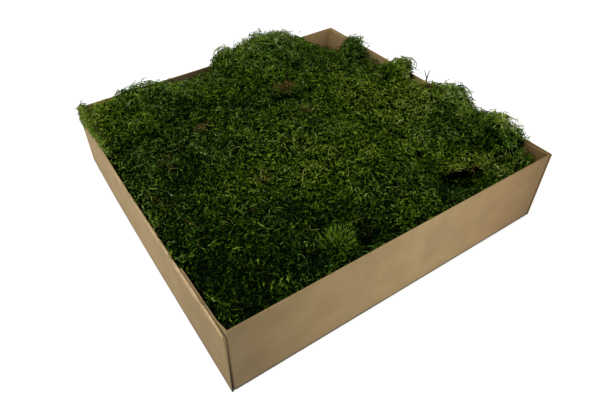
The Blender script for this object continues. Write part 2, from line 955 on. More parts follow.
def packed_tree(names: list[str]) -> BVHTree:
    """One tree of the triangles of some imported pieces.

    Args:
        names: the nodes' names.

    Returns:
        The tree, for rays.
    """
    points = [tuple(p) for name in names for p in PackedSurface.read(name).corners.reshape(-1, 3)]
    triangles = [(start, start + 1, start + 2) for start in range(0, len(points), 3)]
    return BVHTree.FromPolygons(points, triangles)


def top_of(tree: BVHTree, x: float, y: float) -> float | None:
    """The height of a tree's highest face at a place in plan, where it has one."""
    hit = tree.ray_cast(Vector((x, y, ABOVE_ALL)), Vector((0, 0, -1)))[0]
    return None if hit is None else hit.z


@dataclass(frozen=True)
class Patch:
    """A soft-edged patch in plan: where it lies, how wide it is and what it adds."""

    x: float
    y: float
    radius_x: float
    radius_y: float
    amount: float

    def at(self, points: Array) -> Array:
        """What the patch adds at each point."""
        away = (points[..., :2] - (self.x, self.y)) / (self.radius_x, self.radius_y)
        return self.amount * np.exp(-(away**2).sum(axis=-1))


def patches(parts: int, *rows: tuple[float, ...]) -> tuple[Patch, ...]:
    """Patches from rows of place and radii, in millimetres, and what each adds, in so many parts of one."""
    return tuple(Patch(*(value / 1000 for value in row[:4]), row[4] / parts) for row in rows)


@dataclass(frozen=True)
class Band:
    """A soft-edged band in plan along a broken line."""

    line: tuple[Pair, ...]
    half_width: float
    amount: float

    def at(self, points: Array) -> Array:
        """What the band adds at each point.

        Args:
            points: places in plan, or points above them.

        Returns:
            One value for each of them.
        """
        nearest = np.full(points.shape[:-1], np.inf)
        for start, end in zip(self.line[:-1], self.line[1:]):
            first, run = np.array(start), np.array(end) - np.array(start)
            reach = ((points[..., :2] - first) @ run) / (run @ run)
            foot = first + np.clip(reach, 0, 1)[..., None] * run
            nearest = np.minimum(nearest, np.linalg.norm(points[..., :2] - foot, axis=-1))
        return self.amount * np.exp(-((nearest / self.half_width) ** 2))


def smooth_noise(points: Array, wavelength: float, seed: float) -> Array:
    """Smooth noise at places in plan, from about -1 to 1."""
    scaled = points / (wavelength, wavelength, 2 * wavelength)
    return np.array([noise.noise((x, y, seed + z)) for x, y, z in scaled])


@dataclass
class MossOutline:
    """The moss's tops in plan, with the seams between the sheets filled and the tufts raised."""

    half_width: float = 0.2065
    half_depth: float = 0.2065
    step: float = 0.0025
    blur: float = 0.0065
    rounds: int = 5
    beside_wall: float = 0.0845
    lump: float = 0.0030
    lump_wavelength: float = 0.019
    small_lump: float = 0.0016
    small_wavelength: float = 0.0075
    floor: float = 0.02  # packed tops below this height don't count
    wall_start: float = 0.010
    wall_fade: float = 0.014
    level_rise: float = 0.004  # the rise that adds a whole upright to a normal
    most_level: float = 3.0
    hollows: tuple[Patch, ...] = patches(
        100,
        (128, -160, 30, 16, 100), (104, -160, 22, 14, 100), (-41, -187, 15, 12, 100),
        (194, -190, 14, 16, 100), (180, 185, 34, 28, 55), (-18, 198, 18, 14, 90), (198, 164, 16, 13, 75),
        (-35, -172, 13, 11, 100),
    )
    tufts: tuple[Patch, ...] = patches(
        1000,
        (-182, 201, 22, 10, -8), (-102, 192, 10, 14, 4), (-22, 200, 12, 12, -6), (-6, 178, 11, 18, 13),
        (28, 196, 9, 14, -9), (4, 178, 8, 12, 4), (-13, 190, 9, 8, -6), (44, 200, 9, 14, -3),
        (17, 184, 8, 30, -15), (44, 196, 5, 20, -3), (108, 168, 15, 20, 6), (200, 80, 14, 20, 2.5),
        (192, 52, 16, 12, 4), (198, 2, 20, 14, -13), (198, -149, 16, 6.5, -15), (197, -168, 12, 8, 5),
        (100, -163, 22, 9, -6), (186, 153, 11, 10, -5), (177, 141, 13, 13, -11), (196, 13, 12, 11, -15),
        (195, -12, 10, 8, -6), (180, -12, 12, 10, -4), (197, -62, 8, 20, -2), (197, -97, 10, 8, -3),
        (198, -146, 10, 6, -4), (-192, 190, 14, 12, -7), (-200, 197, 9, 8, -5), (-172, 187, 20, 14, -5),
        (-196, -155, 10, 50, 3), (-35, -172, 12, 10, -20), (32, 66, 16, 6, -5),
    )
    rises: Array = field(init=False)

    def survey(self, moss: BVHTree) -> None:
        """Measure the tops on a grid and work out the rise at each of its places.

        Args:
            moss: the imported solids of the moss.
        """
        xs = np.arange(-self.half_width, self.half_width + self.step, self.step)
        ys = np.arange(-self.half_depth, self.half_depth + self.step, self.step)
        tops = np.full((len(xs), len(ys)), self.beside_wall)
        for i, x in enumerate(xs):
            for j, y in enumerate(ys):
                top = top_of(moss, x, y)
                if top is not None and top > self.floor:
                    tops[i, j] = top
        filled = tops.copy()
        for _ in range(self.rounds):
            filled = np.maximum(tops, self._blurred(filled))
        places = np.stack(np.meshgrid(xs, ys, indexing="ij"), axis=-1)
        open_share = np.clip(1.0 - sum(hollow.at(places) for hollow in self.hollows), 0.0, 1.0)
        inward = np.min((self.half_width, self.half_depth) - abs(places), axis=-1)
        inside = share_of(inward, self.wall_start, self.wall_fade)
        low = np.maximum(np.minimum(filled, self.beside_wall) - tops, 0.0)
        self.rises = (low + (filled - tops - low) * inside) * open_share

    def _blurred(self, heights: Array) -> Array:
        """The heights, blurred along both axes.

        Args:
            heights: the heights on the grid.

        Returns:
            The blurred heights.
        """
        reach = int(math.ceil(3 * self.blur / self.step))
        weights = np.exp(-0.5 * (np.arange(-reach, reach + 1) * self.step / self.blur) ** 2)
        weights /= weights.sum()
        for _ in range(2):
            wide = np.pad(heights, ((reach, reach), (0, 0)), mode="edge")
            heights = sum(w * wide[k : k + heights.shape[0]] for k, w in enumerate(weights)).T
        return heights

    def tuft_rise(self, points: Array) -> Array:
        """How far the tufts and dips raise these points."""
        return sum(tuft.at(points) for tuft in self.tufts)

    def lift(self, points: Array) -> tuple[Array, Array]:
        """How far the filled seams and the small lumps raise these points.

        Args:
            points: one row for each point.

        Returns:
            The rise, and the share of the vertical that is added to the normal.
        """
        i = (points[:, 0] + self.half_width) / self.step
        j = (points[:, 1] + self.half_depth) / self.step
        i = np.clip(i, 0, self.rises.shape[0] - 1.001)
        j = np.clip(j, 0, self.rises.shape[1] - 1.001)
        i0, j0 = i.astype(int), j.astype(int)
        u, v = i - i0, j - j0
        rise = sum(
            self.rises[i0 + a, j0 + b] * (u if a else 1 - u) * (v if b else 1 - v)
            for b in (0, 1)
            for a in (0, 1)
        )
        lumps = self.lump * smooth_noise(points, self.lump_wavelength, 1.0)
        lumps += self.small_lump * smooth_noise(points, self.small_wavelength, 2.0)
        return rise + lumps, np.clip(rise / self.level_rise, 0.0, self.most_level)


# ---- foliage shapes


@dataclass
class Foliage:
    """Variants of one kind of foliage, of unit length and with the same faces."""

    points: Array
    peaks: Array
    rises: Array
    triangles: Array

    @property
    def count(self) -> int:
        """The number of variants."""
        return len(self.points)


BEND_POWER, SWAY_TURNS = 1.3, (0.7, 1.6)


def curved_line(
    lean: float, bend: float, sway: float, wander: float, steps: int, rng: Chance
) -> tuple[Array, Array]:
    """A line of unit length that grows up and bends over towards +X.

    Args:
        lean: the angle from straight up at the root.
        bend: the further angle by the tip.
        sway: how far it sways sideways.
        wander: how much each step strays.
        steps: the number of steps.
        rng: the source of chance.

    Returns:
        The points of the line and its direction at each of them.
    """
    along = np.linspace(0.0, 1.0, steps + 1)
    angles = lean + bend * along**BEND_POWER
    sideways = sway * np.sin(math.pi * along * rng.uniform(*SWAY_TURNS))
    ways = np.stack([np.sin(angles), sideways, np.cos(angles)], axis=1)
    ways = unit(ways + rng.normal(0, wander, ways.shape))
    line = np.vstack([np.zeros(3), np.cumsum(ways[:-1] / steps, axis=0)])
    return line, ways


def spun_sides(ways: Array, turn: float, twist: float) -> tuple[Array, Array]:
    """Two directions across a line at each point, turning along it.

    Args:
        ways: the line's direction at each point.
        turn: the angle at the root.
        twist: the further angle by the tip.

    Returns:
        The outward direction and the one square to it.
    """
    side = unit(np.cross(ways, np.array([0.0, 1.0, 0.001])))
    third = np.cross(ways, side)
    spin = (turn + twist * np.linspace(0.0, 1.0, len(ways)))[:, None]
    out = side * np.cos(spin) + third * np.sin(spin)
    return out, np.cross(ways, out)


def leaf_faces(steps: int) -> Array:
    """The faces of a chain of pairs of leaves.

    Args:
        steps: the number of pairs; the line's points come first and the leaves' tips after them.

    Returns:
        Three vertex numbers for each leaf.
    """
    faces = []
    for step in range(steps):
        tip = steps + 1 + 2 * step
        faces += [(step, step + 1, tip), (step + 1, step, tip + 1)]
    return np.array(faces)


@dataclass(frozen=True)
class ShootKind:
    """A simple leafy shoot: a curved, twisted chain of pairs of small leaves."""

    count: int = 48
    steps: int = 8
    leaf: float = 0.080
    start_lean: Pair = (0.4, 1.35)
    bend: Pair = (0.1, 1.6)
    sway: float = 0.7
    twist: Pair = (2.0, 7.0)
    wander: float = 0.22
    fullness: Pair = (0.18, 0.74)  # where on half a wave the leaves' sizes start, and how far they run
    spread: float = 0.35
    curl: float = 0.7
    forward: float = 1.1

    def grow(self, rng: Chance) -> Foliage:
        """Work out every variant.

        Args:
            rng: the source of chance.

        Returns:
            The variants.
        """
        points, peaks = map(np.array, zip(*(self._one(rng) for _ in range(self.count))))
        rises = np.arange(self.steps + 1) / self.steps
        rises = np.concatenate([rises, np.repeat(rises[1:], 2)])
        return Foliage(points, peaks, rises, leaf_faces(self.steps))

    def _one(self, rng: Chance) -> tuple[Array, Array]:
        """One shoot.

        Args:
            rng: the source of chance.

        Returns:
            Its points, and its highest point.
        """
        lean, bend = rng.uniform(*self.start_lean), rng.uniform(*self.bend)
        line, ways = curved_line(lean, bend, rng.uniform(-self.sway, self.sway), self.wander, self.steps, rng)
        turn, twist = rng.uniform(0, TURN), rng.uniform(*self.twist) * rng.choice((-1, 1))
        out, lift = spun_sides(ways, turn, twist)
        start, run = self.fullness
        fullness = np.sin(math.pi * (start + run * np.linspace(0.0, 1.0, self.steps + 1)[:-1]))[:, None]
        leaves = []
        for sign in (-1.0, 1.0):
            reach = self.leaf * fullness * rng.lognormal(0.0, self.spread, (self.steps, 1))
            curl = rng.uniform(-self.curl, self.curl, (self.steps, 1))
            leaves.append(line[:-1] + reach * (sign * out[:-1] + self.forward * ways[:-1] + curl * lift[:-1]))
        leaves = np.stack(leaves, axis=1).reshape(-1, 3)
        return np.vstack([line, leaves]), line[np.argmax(line[:, 2])]


@dataclass(frozen=True)
class FrondKind:
    """A feathery shoot: a leafy stem with a few thin branchlets round it. Its chord is along +Z."""

    count: int = 28
    steps: int = 11
    branches: tuple[int, ...] = (2, 3, 4, 5, 6, 7, 8)
    branch_steps: int = 3
    branch: float = 0.26
    leaf: float = 0.034
    branch_leaf: float = 0.022
    bend: Pair = (0.5, 2.2)
    sway: float = 0.5
    wander: float = 0.12
    twist: Pair = (2.0, 6.0)
    branch_forward: float = 0.9
    branch_fall: float = 1.15  # less the height where it stands, a branchlet's share of its full length
    branch_sizes: Pair = (0.6, 1.3)
    branch_wander: float = 0.35
    branch_rise: float = 0.35
    leaf_spread: float = 0.3
    leaf_forward: float = 1.2

    def grow(self, rng: Chance) -> Foliage:
        """Work out every variant.

        Args:
            rng: the source of chance.

        Returns:
            The variants, whose peaks are their tips.
        """
        shapes = [self._one(rng) for _ in range(self.count)]
        tips = np.tile((0.0, 0.0, 1.0), (self.count, 1))
        return Foliage(np.array([points for points, _, _ in shapes]), tips, *shapes[0][1:])

    def _one(self, rng: Chance) -> tuple[Array, Array, Array]:
        """One frond.

        Args:
            rng: the source of chance.

        Returns:
            Its points, its rises and its faces.
        """
        bend, sway = rng.uniform(*self.bend), rng.uniform(-self.sway, self.sway)
        line, ways = curved_line(0.0, bend, sway, self.wander, self.steps, rng)
        out, lift = spun_sides(ways, rng.uniform(0, TURN), rng.uniform(*self.twist))
        points, rises, faces = self._leafy(0, (line, out, ways), self.leaf, (0.0, 1.0), rng)
        for step in self.branches:
            turn, height = rng.uniform(0, TURN), step / self.steps
            way = math.cos(turn) * out[step] + math.sin(turn) * lift[step] + self.branch_forward * ways[step]
            length = self.branch * (self.branch_fall - height) * rng.uniform(*self.branch_sizes)
            nodes, sides, headings = [line[step]], [], []
            for _ in range(self.branch_steps + 1):
                way = way / np.linalg.norm(way)
                side = np.cross(way, rng.normal(0, 1, 3))
                sides.append(side / np.linalg.norm(side))
                headings.append(way)
                nodes.append(nodes[-1] + way * length / self.branch_steps)
                way = way + rng.normal(0, self.branch_wander, 3)
            branch = np.array(nodes[:-1]), np.array(sides), np.array(headings)
            span = (height, min(1.0, height + self.branch_rise))
            parts = self._leafy(len(points), branch, self.branch_leaf, span, rng)
            points, rises, faces = (np.concatenate(pair) for pair in zip((points, rises, faces), parts))
        turn = Vector(line[-1]).rotation_difference(Vector((0, 0, 1))).to_matrix()
        return points @ np.array(turn).T / np.linalg.norm(line[-1]), rises, faces

    def _leafy(
        self, first: int, chain: tuple[Array, Array, Array], leaf: float, span: Pair, rng: Chance
    ) -> tuple[Array, Array, Array]:
        """A chain of pairs of leaves along a line.

        Args:
            first: the number of its first vertex.
            chain: the line's points, a direction across it at each of them and its own direction there.
            leaf: how long the leaves are.
            span: the rise at the line's start and at its end.
            rng: the source of chance.

        Returns:
            The chain's points, its rises and its faces.
        """
        line, out, ways = chain
        steps = len(line) - 1
        pairs = []
        for sign in (-1.0, 1.0):
            reach = leaf * rng.lognormal(0.0, self.leaf_spread, (steps, 1))
            pairs.append(line[:-1] + reach * (sign * out[:-1] + self.leaf_forward * ways[:-1]))
        points = np.vstack([line, np.stack(pairs, axis=1).reshape(-1, 3)])
        rises = np.linspace(*span, steps + 1)
        return points, np.concatenate([rises, np.repeat(rises[1:], 2)]), leaf_faces(steps) + first


def turned_frames(up: Array, heading: Array) -> Array:
    """Rotations whose third axis is up and whose first is the heading, squared to it.

    Args:
        up: one unit row for each shoot.
        heading: one row for each shoot.

    Returns:
        One 3 by 3 matrix for each shoot.
    """
    first = unit(heading - up * (heading * up).sum(axis=1, keepdims=True), TINY)
    second = np.cross(up, first)
    return np.stack([first, second, up], axis=2)


# ---- tones


WARM_PATCHES = patches(
    100,
    (-10, -40, 110, 110, 32), (90, 10, 70, 100, 25), (128, -10, 45, 60, 30), (-195, 150, 24, 60, 80),
    (-180, -140, 60, 80, 8), (182, -2, 18, 24, 70), (198, -126, 14, 24, 80), (-72, -173, 16, 14, 60),
    (112, -146, 34, 16, 90), (184, -136, 14, 16, 80),
)

# About three quarters of these rows weren't placed by eye. They follow what a scratch script printed,
# when it compared a render with the photo, about where the moss was too dark or too light.
TONE_PATCHES = patches(
    100,
    (-10, -50, 110, 105, 20), (115, -20, 60, 90, 14), (-72, -173, 30, 26, -16), (-72, -173, 14, 12, 16),
    (-180, -130, 50, 80, -8), (-185, -190, 45, 40, -12), (30, -176, 80, 20, -4), (40, -150, 50, 20, 5),
    (-25, -128, 40, 30, -8), (-34, -170, 14, 9, -50), (-36, -184, 12, 6, 70), (-24, -184, 7, 10, -26),
    (30, 66, 18, 7, -40), (92, -166, 22, 10, -36), (116, -155, 36, 10, 44), (128, -168, 10, 6, 20),
    (157, -56, 14, 12, 18), (157, -12, 14, 12, 16), (159, 123, 12, 12, 18), (65, -76, 13, 12, -18),
    (-28, -76, 14, 12, 16), (-45, 13, 14, 12, 16), (5, 70, 14, 10, 18), (-91, 155, 14, 12, 16),
    (-173, 18, 14, 18, 18), (-113, -30, 12, 12, -20), (-163, -89, 14, 12, -16), (-104, -144, 13, 12, -18),
    (-189, -170, 12, 14, 18), (-136, -183, 11, 8, 24), (156, -179, 24, 12, 26), (186, -147, 14, 18, 62),
    (174, -103, 12, 12, 18), (145, -36, 22, 18, 20), (100, -92, 14, 12, 24), (182, -91, 12, 12, 20),
    (129, 7, 14, 14, 18), (191, 138, 10, 12, 18), (71, -38, 13, 14, -18), (44, -7, 13, 12, -15),
    (-151, 14, 13, 12, -16), (-95, -42, 13, 12, -16), (-132, -157, 12, 12, -16), (-98, -194, 16, 8, 16),
    (-166, -194, 10, 8, -16), (-195, -81, 8, 12, -22), (-100, 35, 14, 12, 18), (-83, -16, 13, 12, 16),
    (-102, -116, 13, 12, -17), (-74, -194, 12, 7, -16), (80, -149, 16, 10, -18), (53, 148, 13, 10, -16),
    (180, -172, 10, 8, 12), (-168, -190, 12, 9, -22), (-100, -146, 13, 10, -18), (84, -130, 14, 10, 16),
    (35, -141, 13, 10, -14), (-117, -75, 13, 12, 15), (-158, -184, 10, 8, 16), (80, -178, 14, 8, -15),
    (160, -158, 12, 8, -15), (77, 104, 14, 12, 18), (152, -172, 12, 8, 16), (-50, 184, 30, 12, 16),
    (-113, 166, 24, 12, 16), (192, 21, 10, 12, 16), (-155, -180, 12, 10, -14), (-64, -146, 12, 10, -15),
    (-114, -164, 12, 10, -14), (187, 102, 12, 14, 18), (87, 175, 14, 12, 38), (52, 189, 14, 10, 20),
    (-53, 188, 14, 10, 16), (6, -60, 14, 12, 16), (-46, -8, 16, 16, 15), (-135, -12, 30, 20, -16),
    (10, 31, 12, 12, -13), (-121, -53, 14, 12, 18), (-198, 64, 6, 40, 40), (-198, -34, 6, 40, 40),
    (-199, -100, 5, 20, 30), (-97, -182, 14, 12, -42), (-155, -172, 34, 26, -14), (-175, -130, 16, 12, -36),
    (-78, -110, 14, 12, -34), (-45, -142, 14, 18, -20), (-140, 172, 40, 24, 12), (192, -66, 18, 36, 14),
    (100, -110, 30, 22, 10), (-74, 65, 26, 18, -10), (-30, 90, 70, 30, -8), (30, 160, 60, 30, 10),
    (-197, 160, 18, 44, 24), (-203, 196, 8, 8, 30), (184, 0, 17, 24, 30), (200, -126, 10, 26, 36),
    (176, -150, 20, 24, -12), (119, -163, 13, 9, -24), (-32, -172, 11, 11, 20), (75, -166, 12, 10, 16),
    (-181, -196, 12, 6, 16), (-184, -129, 11, 10, -14), (-178, 106, 12, 14, -14), (-154, -129, 12, 12, -14),
    (-153, -155, 14, 12, -14), (-199, -184, 8, 12, -13), (-105, 132, 14, 12, 14), (-130, 30, 14, 12, 14),
    (3, -116, 14, 12, -13), (181, 104, 12, 14, 14), (26, 68, 13, 8, -50), (-190, -83, 8, 12, -16),
    (-39, -104, 12, 12, -13), (-109, -193, 12, 8, 14), (-193, -2, 8, 14, -13), (68, -31, 12, 12, -12),
)

TONE_BANDS = (
    Band(((-0.205, 0.079), (-0.107, 0.099), (-0.093, 0.134)), 0.008, -0.14),
    Band(((0.124, -0.108), (0.131, -0.139), (0.164, -0.150)), 0.009, -0.26),
    Band(((-0.095, 0.130), (-0.073, 0.110), (-0.032, 0.079), (-0.011, 0.065), (0.048, 0.060)), 0.008, -0.24),
    Band(((0.072, 0.014), (0.081, -0.030), (0.092, -0.068), (0.087, -0.114), (0.082, -0.156)), 0.008, -0.14),
)


TONE_WAVES = (  # how strong each noise is, its wavelength and its seed; the first two follow the lumps
    (0.16, MossOutline.lump_wavelength, 1.0),
    (0.14, MossOutline.small_wavelength, 2.0),
    (0.10, 0.045, 3.0),
)
TONE_SHIFT, TONE_SPREAD, TONE_GLINT = 0.02, 0.12, 0.08
CREST_START, CREST_DEPTH, CREST_TONE = 0.100, 0.014, 0.20  # the tall clumps' sunlit tips
DEEP_START, DEEP_DEPTH, DEEP_TONE = 0.076, 0.012, -0.34  # the floors of the hollow and the pit
WARM_WAVE, WARM_WAVELENGTH, WARM_CONTRAST = 0.70, 0.060, 1.3


def tones_at(points: Array, base: float, rng: Chance) -> Array:
    """Each shoot's place across its palette: brighter on the tufts, darker between them.

    Args:
        points: where the shoots end.
        base: the sheet's own tone.
        rng: the source of chance.

    Returns:
        One tone for each shoot, mostly from 0 to 1.
    """
    count, heights = len(points), points[:, 2]
    tone = np.full(count, base + TONE_SHIFT)
    for patch in (*TONE_PATCHES, *TONE_BANDS):
        tone += patch.at(points)
    for amount, wavelength, seed in TONE_WAVES:
        tone += amount * smooth_noise(points, wavelength, seed)
    tone += CREST_TONE * share_of(heights, CREST_START, CREST_DEPTH)
    tone += DEEP_TONE * np.clip((DEEP_START - heights) / DEEP_DEPTH, 0.0, 1.0)
    return tone + rng.normal(0.0, TONE_SPREAD, count) + rng.exponential(TONE_GLINT, count) - TONE_GLINT


def warm_share(points: Array) -> Array:
    """How much likelier a warm green is at each point: more in the middle, less at the edges."""
    patched = sum(patch.at(points) for patch in WARM_PATCHES)
    return patched + WARM_WAVE * smooth_noise(points, WARM_WAVELENGTH, 11.0)


# ---- moss pieces


class Layer(Enum):
    """The layers that the shoots of a sheet lie in."""

    DEEP = "deep"
    MIDDLE = "middle"
    TOP = "top"


@dataclass(frozen=True)
class LayerLook:
    """How the shoots of one layer lie: their share, depth, size and change of tone."""

    share: float
    depth: Pair
    length: Pair
    tone: float


LAYERS = {
    Layer.DEEP: LayerLook(0.30, (0.0045, 0.0070), (0.009, 0.013), -0.42),
    Layer.MIDDLE: LayerLook(0.42, (0.0014, 0.0040), (0.007, 0.012), -0.11),
    Layer.TOP: LayerLook(0.28, (-0.0022, 0.0012), (0.007, 0.014), 0.15),
}


@dataclass
class Thicket:
    """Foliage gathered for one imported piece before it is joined."""

    node: str
    garden: Garden
    plants: list[tuple[Array, ...]] = field(default_factory=list)  # bodies, faces, tones and rises

    def add(self, body: Array, faces: Array, tone: float, rises: Array) -> None:
        """Gather one plant from its points, its faces, its tone and its points' rises."""
        self.plants.append((body, faces, np.full(len(body), tone), rises))

    def plant(
        self, kind: Foliage, places: Array, up: Array, heading: Array, sizes: Array, tones: Array
    ) -> None:
        """Add foliage whose highest points lie at the places.

        Args:
            kind: the kind of foliage.
            places: one row for each plant.
            up: which way each plant grows, as a unit row.
            heading: which way each plant leans.
            sizes: each plant's length.
            tones: each plant's tone.
        """
        turns = turned_frames(up, heading)
        choice = self.garden.rng.integers(kind.count, size=len(places))
        roots = places - np.einsum("sij,sj->si", turns, kind.peaks[choice]) * sizes[:, None]
        bodies = np.einsum("sij,snj->sni", turns, kind.points[choice]) * sizes[:, None, None]
        bodies += roots[:, None, :]
        tops = np.repeat(places, bodies.shape[1], axis=0)
        bodies = self.garden.walls.keep_clear(bodies.reshape(-1, 3), tops).reshape(bodies.shape)
        for body, tone in zip(bodies, tones):
            self.add(body, kind.triangles, tone, kind.rises)

    def finish(self, suffix: str, material: Material) -> int:
        """Join what has been gathered into as few pieces as their size allows.

        Args:
            suffix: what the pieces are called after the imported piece's name.
            material: their material.

        Returns:
            The number of triangles.
        """
        total = sum(len(faces) for _, faces, _, _ in self.plants)
        parts = math.ceil(total / MAX_TRIANGLES)
        order = np.argsort([body[0, 0] for body, *_ in self.plants], kind="stable")
        for number, chunk in enumerate(np.array_split(order, parts), start=1):
            bodies, faces, tones, rises = zip(*(self.plants[i] for i in chunk))
            starts = np.cumsum([0, *map(len, bodies)])
            name = f"{self.node}_{suffix}" + (f"_{number}" if parts > 1 else "")
            triangles = np.vstack([own + start for own, start in zip(faces, starts)])
            piece = mesh_from_arrays(
                name, np.vstack(bodies), triangles, np.concatenate(tones), np.concatenate(rises)
            )
            piece.data.materials.append(material)
            settle_piece(piece, (self.node,))
        return total


@dataclass(frozen=True)
class Sprig:
    """One feathery shoot set by hand, from its root to its tip, in millimetres."""

    root: Spot
    tip: Spot
    tone: float = 0.5
    warm: bool = False


def sprigs(*rows: tuple) -> tuple[Sprig, ...]:
    """Sprigs from rows of root, tip, tone and, for a warm green, True."""
    return tuple(Sprig(*row) for row in rows)


@dataclass(frozen=True)
class Tuft:
    """Upright sprigs that fan out from the middle of a tuft, in millimetres."""

    centre: Pair
    reach: float
    count: int
    turn: float = math.pi * (3 - math.sqrt(5))  # from each sprig to the next
    depth: float = 0.9
    foot: Pair = (0.3, 84)  # how far out a root lies, as a share of its tip's distance, and its height
    height: float = 105
    fall: float = 0.027
    uneven: float = 1.2
    tone: float = 0.62
    tone_step: float = 0.04

    def grow(self) -> tuple[Sprig, ...]:
        """The sprigs, from the middle outwards.

        Returns:
            The sprigs.
        """
        made = []
        for index in range(self.count):
            away = self.reach * math.sqrt((index + 0.5) / self.count)
            across = away * math.cos(index * self.turn)
            along = self.depth * away * math.sin(index * self.turn)
            share, height = self.foot
            root = (self.centre[0] + share * across, self.centre[1] + share * along, height)
            top = self.height - self.fall * away**2 + self.uneven * (index % 3 - 1)
            tip = (self.centre[0] + across, self.centre[1] + along, top)
            made.append(Sprig(root, tip, self.tone + self.tone_step * (index * 7 % 5), index % 2 == 0))
        return tuple(made)


@dataclass(frozen=True)
class Overhang:
    """Moss that hangs over the tray's rim between two places."""

    start: Pair
    end: Pair
    outward: Pair
    rim: float
    reach: float = 0.008
    drop: float = 0.009
    rise: float = 0.003
    spacing: float = 0.0018
    inset: float = 0.003
    ending: float = 1.2
    onset: Pair = (0.4, 3.0)
    bulge: float = 0.7
    lean: Pair = (0.4, 1.2)

    def scatter(self, rng: Chance) -> tuple[Array, Array]:
        """Points over the rim, and the way that moss grows there.

        Args:
            rng: the source of chance.

        Returns:
            The points and their outward directions.
        """
        run = np.array(self.end) - np.array(self.start)
        count = int(np.linalg.norm(run) * (self.reach + self.drop) / self.spacing**2)
        along, across = rng.random((count, 1)), rng.random((count, 1))
        out = np.array(self.outward)
        edge = np.clip(self.ending * (1.0 - along), 0.0, 1.0)
        edge = edge * np.clip(self.onset[0] + self.onset[1] * along, 0.0, 1.0)
        plan = np.array(self.start) + run * along
        plan += out * (across**self.bulge * edge * self.reach - self.inset)
        height = self.rim + self.rise - (self.drop * edge + self.rise) * across**2
        ways = np.hstack([out * (self.lean[0] + across), self.lean[1] - across])
        return np.hstack([plan, height]), unit(ways)


